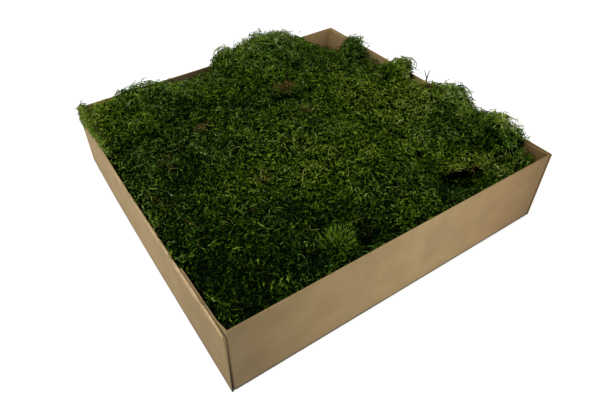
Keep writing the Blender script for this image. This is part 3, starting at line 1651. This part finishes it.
@dataclass
class MossSheet:
    """One packed sheet of moss, dressed with its bed, its shoots and its fronds."""

    node: str
    tone: float
    warmth: float = 0.5
    fronds: int = 0
    size: float = 1.0
    spacing: float = 0.0021
    contrast: float = 1.0
    overhangs: tuple[Overhang, ...] = ()
    sprigs: tuple[Sprig, ...] = ()
    tuft: tuple[Sprig, ...] = ()
    pale_from: float = 0.78
    pale_gain: float = 0.5
    tone_limits: Pair = (0.01, 0.98)
    turns: float = 1.25  # how far the shoots' headings turn with the place
    turn_wavelength: float = 0.035
    turn_spread: float = 1.2
    stray: float = 0.28
    hanging_stray: float = 0.35
    hanging_heading: Pair = (-0.6, 0.6)  # how far down it points, and its spread
    hanging_sizes: Pair = (0.007, 0.013)
    hanging_tone: float = 0.10
    frond_up: Pair = (0.25, 0.9)
    frond_aside: float = 0.9
    frond_spread: float = 0.5
    frond_sizes: Pair = (0.011, 0.021)
    frond_middle: float = 0.5
    frond_depth: float = 0.0012
    frond_tone: float = 0.14
    bed_depth: float = 0.0055
    bed_least: float = 0.12  # the share of that depth at the foot
    bed_foot: float = 0.03
    bed_fine_from: float = 0.045
    bed_fine_up: float = -0.2
    bed_inset: float = 0.97
    lump_foot: float = 0.04
    fade: float = 0.02
    lump: float = 0.0018
    lump_wavelength: float = 0.006

    def build(self, garden: Garden) -> int:
        """Make and dress every piece of the sheet.

        Args:
            garden: what every sheet is made with.

        Returns:
            The number of triangles.
        """
        bed = self.build_bed(garden)
        surface = PackedSurface.read(self.node)
        points, normals = surface.scatter(self.spacing, garden.solids, garden.outline, garden.rng)
        points = garden.walls.reach_out(points)
        shoots = Thicket(self.node, garden)
        self.plant_layers(shoots, points, normals)
        self.plant_overhangs(shoots)
        self.plant_fronds(shoots, points, normals)
        self.plant_sprigs(shoots, self.sprigs, garden.sprigs)
        self.plant_sprigs(shoots, self.tuft, garden.spires)
        return len(bed.data.polygons) + shoots.finish("shoots", garden.leaf)

    def build_bed(self, garden: Garden) -> Thing:
        """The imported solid, drawn in below the shoots and lumpy.

        Args:
            garden: what every sheet is made with.

        Returns:
            The bed.
        """
        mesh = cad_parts[self.node].data.copy()
        mesh.materials.clear()
        mesh.materials.append(garden.bed)
        bed = linked(bpy.data.objects.new(f"{self.node}_bed", mesh))
        make_active(bed)
        bpy.ops.object.mode_set(mode="EDIT")
        bpy.ops.mesh.select_all(action="SELECT")
        bpy.ops.mesh.remove_doubles(threshold=0.00001)
        bpy.ops.mesh.select_all(action="DESELECT")
        for face in bmesh.from_edit_mesh(mesh).faces:
            high = face.calc_center_median().z > self.bed_fine_from
            face.select_set(high and face.normal.z > self.bed_fine_up)
        bmesh.update_edit_mesh(mesh)
        bpy.ops.mesh.subdivide(number_cuts=1, smoothness=0.0)
        bpy.ops.mesh.select_all(action="DESELECT")
        bpy.ops.object.mode_set(mode="OBJECT")
        moved = []
        for vertex in mesh.vertices:
            here, out = vertex.co, vertex.normal
            depth = self.bed_depth * min(1.0, max(self.bed_least, (here.z - self.bed_foot) / self.bed_foot))
            lumps = self.lump * noise.noise(here / self.lump_wavelength)
            lumps *= min(1.0, max(0.0, (here.z - self.lump_foot) / self.fade))
            moved.append(here - out * (depth - lumps))
        places = np.array(moved)
        above = share_of(places[:, 2], self.bed_fine_from, self.fade)
        places[:, 2] += garden.outline.tuft_rise(places) * above
        places = garden.walls.keep_clear(places, places * (self.bed_inset, self.bed_inset, 1.0))
        mesh.vertices.foreach_set("co", places.astype(np.float32).ravel())
        mesh.shade_smooth()
        settle_piece(bed, (self.node,))
        return bed

    def own_tones(self, points: Array, shift: Array | float, rng: Chance ) -> Array:
        """Each shoot's place in the leaf map: cool greens in its lower half, warm ones in its upper.

        Args:
            points: where the shoots end.
            shift: what the layer adds to the tone.
            rng: the source of chance.

        Returns:
            One value for each shoot, from 0 to 1.
        """
        tones = tones_at(points, self.tone, rng) + shift
        pale = self.pale_from + (tones - self.pale_from) * self.pale_gain
        tones = np.where(tones > self.pale_from, pale, tones)
        share = 0.5 + WARM_CONTRAST * (self.warmth + warm_share(points) - 0.5)
        return np.clip(tones, *self.tone_limits) / 2 + 0.5 * (rng.random(len(points)) < share)

    def plant_layers(self, thicket: Thicket, points: Array, normals: Array) -> None:
        """Plant the simple shoots, in three layers.

        Args:
            thicket: where they are gathered.
            points: where the surface is.
            normals: the surface's normals there.
        """
        garden, count = thicket.garden, len(points)
        rng = garden.rng
        looks = list(LAYERS.values())
        layer = rng.choice(len(looks), size=count, p=[look.share for look in looks])
        depths, sizes, shifts = np.empty(count), np.empty(count), np.empty(count)
        for index, look in enumerate(looks):
            mine = layer == index
            depths[mine] = rng.uniform(*look.depth, mine.sum())
            sizes[mine] = rng.uniform(*look.length, mine.sum()) * self.size
            shifts[mine] = look.tone * self.contrast
        angles = self.turns * TURN * smooth_noise(points, self.turn_wavelength, 5.0)
        heading = level_ways(angles + rng.normal(0, self.turn_spread, count))
        up = unit(normals + rng.normal(0, self.stray, (count, 3)))
        places = garden.walls.hold_in(points, points - normals * depths[:, None])
        thicket.plant(garden.shoots, places, up, heading, sizes, self.own_tones(points, shifts, rng))

    def plant_overhangs(self, thicket: Thicket) -> None:
        """Plant the shoots that hang over the rim.

        Args:
            thicket: where they are gathered.
        """
        rng = thicket.garden.rng
        down, spread = self.hanging_heading
        for overhang in self.overhangs:
            points, ways = overhang.scatter(rng)
            up = unit(ways + rng.normal(0, self.hanging_stray, ways.shape))
            heading = (*overhang.outward, down) + rng.normal(0, spread, ways.shape)
            sizes = rng.uniform(*self.hanging_sizes, len(points)) * self.size
            tones = self.own_tones(points, self.hanging_tone, rng)
            thicket.plant(thicket.garden.shoots, points, up, heading, sizes, tones)

    def plant_fronds(self, thicket: Thicket, points: Array, normals: Array) -> None:
        """Plant feathery shoots at random over the sheet.

        Args:
            thicket: where they are gathered.
            points: where the surface is.
            normals: the surface's normals there.
        """
        garden = thicket.garden
        rng = garden.rng
        chosen = rng.choice(len(points), size=min(self.fronds, len(points)), replace=False)
        points, normals, count = points[chosen], normals[chosen], len(chosen)
        aside = level_ways(rng.uniform(0, TURN, count))
        up = unit(normals * rng.uniform(*self.frond_up, (count, 1)) + aside * self.frond_aside)
        sizes = rng.uniform(*self.frond_sizes, count) * self.size
        heading = aside + rng.normal(0, self.frond_spread, aside.shape)
        peaks = points + up * sizes[:, None] * self.frond_middle - normals * self.frond_depth
        peaks = garden.walls.hold_in(points, peaks)
        tones = self.own_tones(points, self.frond_tone, rng)
        thicket.plant(garden.fronds, peaks, up, heading, sizes, tones)

    @staticmethod
    def plant_sprigs(thicket: Thicket, chosen: tuple[Sprig, ...], kind: Foliage) -> None:
        """Plant the sprigs that are set by hand, with their roots below the surface.

        Args:
            thicket: where they are gathered.
            chosen: the sprigs.
            kind: their kind of foliage.
        """
        if not chosen:
            return
        roots = np.array([sprig.root for sprig in chosen]) / 1000
        tips = np.array([sprig.tip for sprig in chosen]) / 1000
        lengths = np.linalg.norm(tips - roots, axis=1)
        up = (tips - roots) / lengths[:, None]
        heading = thicket.garden.rng.normal(0, 1.0, up.shape)
        tones = np.array([sprig.tone / 2 + (0.5 if sprig.warm else 0.0) for sprig in chosen])
        thicket.plant(kind, tips, up, heading, lengths, tones)


# ---- dry litter


@dataclass(frozen=True)
class Strand:
    """One dry stem through a few places, in millimetres."""

    places: tuple[Spot, ...]
    radius: float = 0.45
    tone: float = 0.6


@dataclass(frozen=True)
class ThatchPatch:
    """A patch of dead brown shoots on the moss."""

    x: float
    y: float
    radius_x: float
    radius_y: float
    angle: float
    count: int
    rise: float = 0.0015


@dataclass
class Litter:
    """Dead stems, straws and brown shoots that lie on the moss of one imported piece."""

    node: str
    strands: tuple[Strand, ...]
    patches: tuple[ThatchPatch, ...]
    straws: int = 90
    steps: int = 12
    sides: int = 4
    aside: Spot = (0.13, 0.21, 0.97)  # any direction that no stem follows
    taper: float = 0.55
    lowest_rise: float = 0.6  # keeps the stems' roots from going dark
    straw_area: float = 0.182
    straw_length: Pair = (0.005, 0.014)
    straw_radius: Pair = (0.00016, 0.00030)
    straw_bow: float = 0.2
    straw_tone: Pair = (0.45, 0.88)
    lift: Pair = (-0.002, 0.001)
    thatch_up: Pair = (0.6, 0.8)  # the spread of the way it grows, and what is added upwards
    thatch_size: Pair = (0.006, 0.012)
    thatch_tone: Pair = (0.44, 0.19)
    thatch_limits: Pair = (0.02, 0.85)

    def build(self, garden: Garden) -> int:
        """Make the litter.

        Args:
            garden: what every sheet is made with.

        Returns:
            The number of triangles.
        """
        thicket = Thicket(self.node, garden)
        for strand in self.strands:
            self.add_strand(thicket, np.array(strand.places) / 1000, strand.radius / 1000, strand.tone)
        self.add_straws(thicket)
        for patch in self.patches:
            self.add_patch(thicket, patch)
        return thicket.finish("litter", garden.dry)

    def add_strand(self, thicket: Thicket, places: Array, radius: float, tone: float) -> None:
        """Add a tapering tube through the places.

        Args:
            thicket: where it is gathered.
            places: the places, in order.
            radius: its radius at the root.
            tone: its tone.
        """
        padded = np.vstack([2 * places[0] - places[1], places, 2 * places[-1] - places[-2]])
        line = []
        for value in np.linspace(0, len(places) - 1, self.steps + 1):
            k = min(int(value), len(places) - 2)
            t = value - k
            a, b, c, d = padded[k : k + 4]
            square, cube = 2 * a - 5 * b + 4 * c - d, 3 * b - a - 3 * c + d
            line.append(0.5 * (2 * b + (c - a) * t + square * t**2 + cube * t**3))
        line = np.array(line)
        ways = unit(np.gradient(line, axis=0))
        side = unit(np.cross(ways, np.array(self.aside)))
        third = np.cross(ways, side)
        turns = np.arange(self.sides) * TURN / self.sides
        radii = radius * (1.0 - self.taper * np.linspace(0, 1, len(line)))
        rings = line[:, None] + radii[:, None, None] * (
            side[:, None] * np.cos(turns)[None, :, None] + third[:, None] * np.sin(turns)[None, :, None]
        )
        faces = []
        for step in range(self.steps):
            for k in range(self.sides):
                a, b = step * self.sides + k, step * self.sides + (k + 1) % self.sides
                faces += [(a, b, b + self.sides), (a, b + self.sides, a + self.sides)]
        last = self.steps * self.sides
        for k in range(1, self.sides - 1):
            faces += [(0, k + 1, k), (last, last + k, last + k + 1)]
        body = rings.reshape(-1, 3)
        body = thicket.garden.walls.keep_clear(body, np.repeat(line[-1:], len(body), axis=0))
        rises = np.repeat(np.linspace(self.lowest_rise, 1.0, len(line)), self.sides)
        thicket.add(body, np.array(faces), tone, rises)

    def add_straws(self, thicket: Thicket) -> None:
        """Add short loose straws all over the moss.

        Args:
            thicket: where they are gathered.
        """
        garden = thicket.garden
        rng = garden.rng
        for _ in range(self.straws):
            x, y = rng.uniform(-self.straw_area, self.straw_area, 2)
            angle, length = rng.uniform(0, TURN), rng.uniform(*self.straw_length)
            way = np.array([math.cos(angle), math.sin(angle), 0.0])
            bow = np.array([-way[1], way[0], 0.0]) * rng.normal(0, self.straw_bow) * length
            places = []
            lifts = rng.uniform(*self.lift), 0.0, rng.uniform(*self.lift)
            for share, lift in zip((-0.5, 0.0, 0.5), lifts):
                spot = np.array([x, y, 0.0]) + way * share * length + (bow if share == 0.0 else 0.0)
                spot[2] = garden.top_at(spot[0], spot[1]) + lift
                places.append(spot)
            radius, tone = rng.uniform(*self.straw_radius), rng.uniform(*self.straw_tone)
            self.add_strand(thicket, np.array(places), radius, tone)

    def add_patch(self, thicket: Thicket, patch: ThatchPatch) -> None:
        """Add a patch of dead brown shoots.

        Args:
            thicket: where it is gathered.
            patch: the patch.
        """
        garden, radii = thicket.garden, (patch.radius_x, patch.radius_y)
        rng = garden.rng
        spots = rng.normal(0, 0.5, (patch.count, 2)) * radii
        cos, sin = math.cos(patch.angle), math.sin(patch.angle)
        plan = spots @ np.array([[cos, sin], [-sin, cos]]) + (patch.x, patch.y)
        fall = np.exp(-((spots / radii) ** 2).sum(axis=1))
        tops = np.array([garden.top_at(x, y) for x, y in plan]) + patch.rise * fall
        places = np.column_stack([plan, tops + rng.uniform(*self.lift, patch.count)])
        spread, upward = self.thatch_up
        up = unit(rng.normal(0, spread, (patch.count, 3)) + (0, 0, upward))
        sizes = rng.uniform(*self.thatch_size, patch.count)
        tones = np.clip(rng.normal(*self.thatch_tone, patch.count), *self.thatch_limits)
        thicket.plant(garden.shoots, places, up, rng.normal(0, 1, up.shape), sizes, tones)


@dataclass
class Garden:
    """What every sheet of moss is made with."""

    rng: Chance
    shoots: Foliage
    fronds: Foliage
    sprigs: Foliage
    spires: Foliage
    solids: BVHTree
    moss: BVHTree
    outline: MossOutline
    walls: TrayWalls
    leaf: Material
    bed: Material
    dry: Material

    @classmethod
    def prepare(cls, seed: int) -> Garden:
        """Grow the foliage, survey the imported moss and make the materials.

        Args:
            seed: where chance starts.

        Returns:
            The garden.
        """
        rng = np.random.default_rng(seed)
        moss = packed_tree([sheet.node for sheet in SHEETS])
        outline = MossOutline()
        outline.survey(moss)
        return cls(
            rng,
            ShootKind().grow(rng),
            FrondKind().grow(rng),
            FrondKind(16, 11, (2, 4, 6, 8), 3, 0.22, 0.040, 0.030, (0.3, 1.5)).grow(rng),
            FrondKind(16, 10, (5, 7), 3, 0.16, 0.030, 0.020, (0.1, 0.9)).grow(rng),
            packed_tree(list(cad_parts)),
            moss,
            outline,
            TrayWalls(),
            MossLeaf().build(),
            MossBed().build(),
            DryStem().build(),
        )

    def top_at(self, x: float, y: float) -> float:
        """The height of the shoots' tops at a place in plan.

        Args:
            x: the place along X.
            y: the place along Y.

        Returns:
            The height.
        """
        top = top_of(self.moss, x, y)
        if top is None:
            return self.outline.beside_wall
        here = np.array([[x, y, top]])
        return top + float(self.outline.lift(here)[0][0] + self.outline.tuft_rise(here)[0])


# ---- studio


@dataclass
class Studio:
    """The camera of the photograph, a plain pale floor and soft light."""

    camera_place: Spot = (-0.27768, -0.4130, 0.4298)
    azimuth: float = 57.245
    depression: float = 40.356
    roll: float = -0.702
    lens: float = 30.556
    shift: Pair = (0.020, -0.032)
    world: float = 0.85
    floor_size: float = 6.0
    floor_height: float = -0.0002
    floor_grey: float = 0.96
    floor_glow: float = 0.12
    aim: Spot = (0, 0, 0.08)
    lamps: tuple[tuple[str, Spot, float, float], ...] = (  # name, place, size and power
        ("key", (-0.9, -0.3, 1.3), 0.8, 13.0),
        ("fill", (0.25, -0.85, 0.55), 0.6, 2.4),
    )

    def build(self) -> None:
        """Make the camera, the floor, the lights and the world."""
        self.build_camera()
        self.build_floor()
        self.build_lights()

    def build_camera(self) -> None:
        """The camera, turned as the photograph's was."""
        az, el, roll = map(math.radians, (self.azimuth, self.depression, self.roll))
        ahead = Vector((math.cos(el) * math.cos(az), math.cos(el) * math.sin(az), -math.sin(el)))
        right = ahead.cross(Vector((0, 0, 1))).normalized()
        up = right.cross(ahead)
        turned_right = math.cos(roll) * right + math.sin(roll) * up
        turned_up = math.cos(roll) * up - math.sin(roll) * right
        camera = bpy.data.cameras.new("camera")
        camera.lens, camera.sensor_width = self.lens, 36.0
        camera.shift_x, camera.shift_y = self.shift
        camera.clip_start = 0.01
        holder = linked(bpy.data.objects.new("camera", camera))
        matrix = Matrix((turned_right, turned_up, -ahead)).transposed().to_4x4()
        matrix.translation = Vector(self.camera_place)
        holder.matrix_world = matrix
        bpy.context.scene.camera = holder

    def build_floor(self) -> None:
        """A plain pale floor at the tray's foot."""
        deselect_all()
        bpy.ops.mesh.primitive_plane_add(size=self.floor_size, location=(0, 0, self.floor_height))
        floor = bpy.context.object
        floor.name = "floor"
        made, graph = new_material("floor", 0.9, 0.0)
        graph.feed(graph.shader.inputs["Base Color"], (self.floor_grey,) * 3)
        graph.feed(graph.shader.inputs["Emission Color"], (1.0, 1.0, 1.0))
        graph.feed(graph.shader.inputs["Emission Strength"], self.floor_glow)
        floor.data.materials.append(made)

    def build_lights(self) -> None:
        """A white world and two soft lamps."""
        scene = bpy.context.scene
        scene.world = bpy.data.worlds.new("studio")
        scene.world.use_nodes = True
        background = scene.world.node_tree.nodes["Background"]
        background.inputs["Color"].default_value = (1.0, 1.0, 1.0, 1.0)
        background.inputs["Strength"].default_value = self.world
        for name, place, size, power in self.lamps:
            deselect_all()
            bpy.ops.object.light_add(type="AREA", location=place)
            lamp = bpy.context.object
            lamp.name = name
            lamp.data.size, lamp.data.energy = size, power
            lamp.rotation_euler = (Vector(self.aim) - Vector(place)).to_track_quat("-Z", "Y").to_euler()
        scene.view_settings.view_transform = "Standard"


# ---- this tray's own moss


BACK_SPRIGS = sprigs(
    ((-12, 172, 96), (-27, 158, 117), 0.60), ((-10, 180, 100), (-2, 187, 119), 0.62),
    ((4, 182, 104), (6, 188, 121), 0.66), ((10, 184, 104), (14, 184, 120), 0.60),
    ((30, 190, 108), (38, 197, 122), 0.80), ((38, 190, 108), (46, 196, 122), 0.86),
    ((60, 178, 106), (72, 203, 121), 0.42), ((64, 184, 106), (69, 196, 122), 0.46),
    ((72, 180, 108), (76, 187, 121), 0.60), ((80, 176, 108), (88, 182, 121), 0.78),
    ((96, 166, 106), (101, 174, 121), 0.40), ((104, 160, 104), (109, 167, 120), 0.52),
    ((110, 156, 102), (119, 164, 119), 0.56), ((106, 150, 104), (116, 150, 118), 0.50),
    ((-14, 178, 98), (-16, 186, 112), 0.66), ((-14, 176, 92), (-26, 150, 86), 0.95, True),
    ((20, 186, 106), (26, 194, 120), 0.70), ((50, 188, 108), (54, 200, 120), 0.60),
)

CORNER_SPRIGS = sprigs(
    ((182, 134, 88), (186, 136, 108), 0.74, True), ((186, 134, 90), (190, 137, 107), 0.66),
    ((186, 130, 90), (193, 131, 108), 0.74), ((190, 128, 90), (198, 131, 107), 0.60),
    ((190, 124, 90), (196, 123, 109), 0.70), ((191, 120, 90), (199, 119, 107), 0.62),
    ((190, 118, 88), (202, 112, 104), 0.56), ((192, 112, 86), (206, 106, 100), 0.52),
)

CLUMP_1_SPRIGS = sprigs(
    ((188, 40, 90), (193, 44, 107), 0.60), ((186, 32, 92), (190, 33, 109), 0.56),
    ((190, 32, 92), (198, 36, 109), 0.54), ((190, 26, 92), (200, 24, 109), 0.62),
    ((192, 26, 92), (206, 27, 106), 0.62), ((184, 12, 88), (190, 10, 97), 0.84, True),
    ((184, 6, 88), (187, 0, 97), 0.90, True), ((180, 4, 88), (178, -4, 98), 0.86, True),
    ((188, 2, 86), (194, -6, 94), 0.82, True), ((186, 18, 90), (192, 18, 98), 0.80, True),
)

CLUMP_2_SPRIGS = sprigs(
    ((196, -34, 92), (208, -40, 107), 0.60), ((190, -30, 92), (194, -26, 104), 0.60),
    ((194, -72, 90), (202, -92, 99), 0.50), ((196, -66, 90), (206, -80, 98), 0.72),
)

CLUMP_3_SPRIGS = sprigs(
    ((190, -106, 90), (198, -106, 104), 0.80, True), ((192, -116, 92), (208, -128, 105), 0.50),
    ((190, -120, 92), (206, -134, 106), 0.56), ((186, -128, 92), (190, -136, 106), 0.90, True),
    ((188, -112, 92), (202, -120, 105), 0.84, True), ((190, -124, 92), (204, -126, 106), 0.88, True),
    ((190, -130, 92), (205, -138, 104), 0.80, True), ((186, -134, 92), (196, -141, 104), 0.86, True),
    ((190, -150, 90), (197, -158, 102), 0.52), ((191, -154, 90), (200, -160, 102), 0.50),
    ((184, -160, 88), (195, -174, 101), 0.46), ((180, -166, 86), (194, -176, 96), 0.50),
    ((170, -172, 86), (176, -186, 97), 0.60),
)

LEFT_SPRIGS = sprigs(
    ((-114, 180, 88), (-105, 187, 99), 0.56), ((-126, 180, 88), (-122, 184, 100), 0.62),
    ((-136, 182, 88), (-133, 188, 99), 0.70), ((-148, 176, 86), (-156, 178, 98), 0.66),
    ((-196, 187, 84), (-208, 192, 85), 0.84), ((-197, 191, 84), (-207, 196, 87), 0.88),
    ((-195, 189, 84), (-205, 194, 89), 0.80), ((-196, 184, 84), (-209, 188, 84), 0.86),
    ((-194, 184, 84), (-209, 186, 82), 0.70), ((-196, 150, 84), (-208, 146, 82), 0.78, True),
)

FRONT_SPRIGS = sprigs(
    ((-102, -186, 84), (-107, -198, 93), 0.66, True), ((-96, -186, 84), (-99, -199, 94), 0.76, True),
    ((-90, -186, 84), (-90, -199, 93), 0.68, True), ((-46, -190, 70), (-34, -186, 80), 0.62),
    ((-46, -192, 70), (-38, -190, 82), 0.56), ((-44, -188, 68), (-32, -181, 76), 0.58),
    ((-48, -194, 74), (-43, -196, 86), 0.60, True), ((-62, -188, 84), (-56, -201, 93), 0.66),
    ((-58, -186, 86), (-49, -198, 94), 0.62), ((-188, -182, 84), (-184, -192, 91), 0.70, True),
    ((-184, -180, 84), (-178, -190, 91), 0.62, True),
)

STRANDS = (
    Strand(((202, -9, 88), (205, -7, 92), (208, -1, 96), (210, 4, 99)), 1.05, 0.16),
    Strand(((203, -8, 90), (206, -6, 93), (211, -3, 96), (218, 1, 98)), 1.10, 0.18),
    Strand(
        (
            (204, -54, 102), (206, -60, 108), (205, -67, 110),
            (205, -74, 109), (203, -81, 106), (201, -86, 101),
        ),
        1.05, 0.12,
    ),
    Strand(((203, -58, 100), (205, -65, 106), (202, -73, 106), (200, -79, 102), (198, -84, 96)), 0.75, 0.16),
    Strand(((190, 38, 100), (198, 34, 108), (205, 25, 110), (205, 15, 106), (199, 10, 101)), 0.60, 0.60),
    Strand(((196, 34, 104), (203, 28, 108), (207, 20, 106), (205, 13, 101)), 0.50, 0.30),
    Strand(((-52, -90, 90), (-47, -83, 95), (-39, -75, 95), (-33, -76, 90)), 0.42, 0.80),
    Strand(((-4, -68, 92), (3, -62, 97), (8, -64, 95), (12, -72, 90)), 0.42, 0.82),
    Strand(((-84, -62, 90), (-81, -56, 95), (-77, -49, 94), (-78, -42, 89)), 0.40, 0.86),
    Strand(((-92, -8, 90), (-88, -3, 94), (-77, -2, 94), (-72, -8, 89)), 0.38, 0.76),
    Strand(((-155, 120, 87), (-156, 108, 92), (-157, 93, 88)), 0.35, 0.80),
    Strand(((-196, -20, 86), (-192, -16, 89), (-188, -16, 89), (-184, -30, 86)), 0.30, 0.34),
    Strand(((-182, -24, 86), (-183, -39, 89), (-184, -49, 85)), 0.30, 0.40),
    Strand(((-172, -65, 86), (-171, -76, 89), (-165, -84, 86)), 0.30, 0.50),
    Strand(((-56, -162, 92), (-46, -161, 91), (-36, -160, 89), (-27, -160, 87)), 0.28, 0.66),
    Strand(((18, 80, 88), (21, 76, 90), (24, 70, 87)), 0.36, 0.66),
    Strand(((30, 76, 90), (34, 70, 91), (36, 64, 88)), 0.32, 0.60),
    Strand(((36, 80, 90), (38, 70, 91), (44, 64, 89)), 0.35, 0.70),
)

THATCH = (
    ThatchPatch(0.038, 0.082, 0.0125, 0.0038, -0.1, 190, 0.005),
    ThatchPatch(0.024, 0.084, 0.0050, 0.0040, 0.6, 30, 0.003),
    ThatchPatch(-0.093, 0.060, 0.008, 0.006, 0.5, 60),
    ThatchPatch(0.183, -0.033, 0.007, 0.009, 0.0, 120),
    ThatchPatch(0.184, 0.004, 0.006, 0.007, 0.0, 40),
    ThatchPatch(0.112, -0.158, 0.030, 0.004, -0.3, 50, -0.005),
    ThatchPatch(-0.080, -0.060, 0.010, 0.010, 0.0, 22),
    ThatchPatch(0.030, 0.020, 0.014, 0.010, 0.0, 26),
    ThatchPatch(-0.150, 0.020, 0.012, 0.012, 0.0, 24),
)

LEFT_SPILL = (
    Overhang((-0.2005, 0.197), (-0.2040, 0.096), (-1.0, 0.0), 0.0840, 0.0080, 0.009, 0.005),
)

SHEETS = (
    MossSheet(
        "moss_front_sheet", 0.40, 0.46, 160, sprigs=FRONT_SPRIGS, tuft=Tuft((-72, -173), 21, 90).grow()
    ),
    MossSheet(
        "moss_left_sheet", 0.49, 0.42, 130, 1.1, contrast=0.8, overhangs=LEFT_SPILL, sprigs=LEFT_SPRIGS
    ),
    MossSheet("moss_right_sheet", 0.46, 0.50, 60),
    MossSheet("moss_front_strip", 0.44, 0.35, 30),
    MossSheet("moss_back_clump", 0.46, 0.42, 170, 1.15, contrast=0.8, sprigs=BACK_SPRIGS),
    MossSheet("moss_corner_sheet", 0.44, 0.40, 30),
    MossSheet("moss_corner_tuft", 0.38, 0.30, 20, 1.2, sprigs=CORNER_SPRIGS),
    MossSheet("moss_wall_clump_1", 0.43, 0.30, 35, 1.2, contrast=0.8, sprigs=CLUMP_1_SPRIGS),
    MossSheet("moss_wall_clump_2", 0.53, 0.34, 40, 1.2, contrast=0.5, sprigs=CLUMP_2_SPRIGS),
    MossSheet("moss_wall_clump_3", 0.40, 0.34, 40, 1.2, contrast=0.8, sprigs=CLUMP_3_SPRIGS),
)


# ---- main


def main() -> None:
    """Build and dress every piece in order."""
    logging.basicConfig(level=logging.INFO, format="%(name)s: %(message)s")
    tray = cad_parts["tray"]
    tray.data.materials.clear()
    tray.data.materials.append(KraftBoard().build())
    TornRim(TrayWalls()).build()
    garden = Garden.prepare(20)
    total = 0
    for sheet in SHEETS:
        total += sheet.build(garden)
    total += Litter("moss_front_sheet", STRANDS, THATCH).build(garden)
    log.info("moss: %d triangles in all", total)
    Studio().build()


if __name__ == "__main__":
    main()
